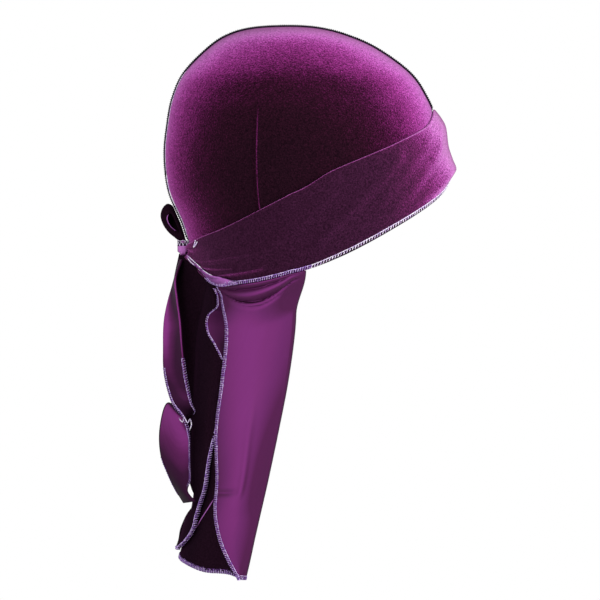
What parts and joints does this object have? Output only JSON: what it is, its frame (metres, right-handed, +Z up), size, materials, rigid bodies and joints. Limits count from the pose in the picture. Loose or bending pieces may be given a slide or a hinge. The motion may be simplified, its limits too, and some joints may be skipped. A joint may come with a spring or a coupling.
{
  "type": "durag",
  "caption": "Worn velvet durag with two crown panels, an outside centre seam, a forehead wrap knotted at the nape, hanging tie ends and a folded cape",
  "frame": {"origin": "The inside of the crown at its top, where the head carries it", "axes": "+X is the front of the head, +Y is the wearer's left, +Z is up along the head"},
  "size_m": [0.2086, 0.1626, 0.3882],
  "materials": {
    "velvet": "crushed purple velvet, dark face on and bright at a glancing angle",
    "satin_reverse": "smooth purple knit back of the velvet with a soft satin lustre",
    "thread": "purple overlock thread"
  },
  "bodies": {
    "root": {"crown_right": "velvet", "crown_left": "velvet", "centre_seam": "thread", "forehead_wrap": "velvet", "knot": "satin_reverse", "bow_loop": "velvet", "twisted_tail": "satin_reverse", "back_tail": "velvet", "cape": "satin_reverse"}
  },
  "joints": []
}
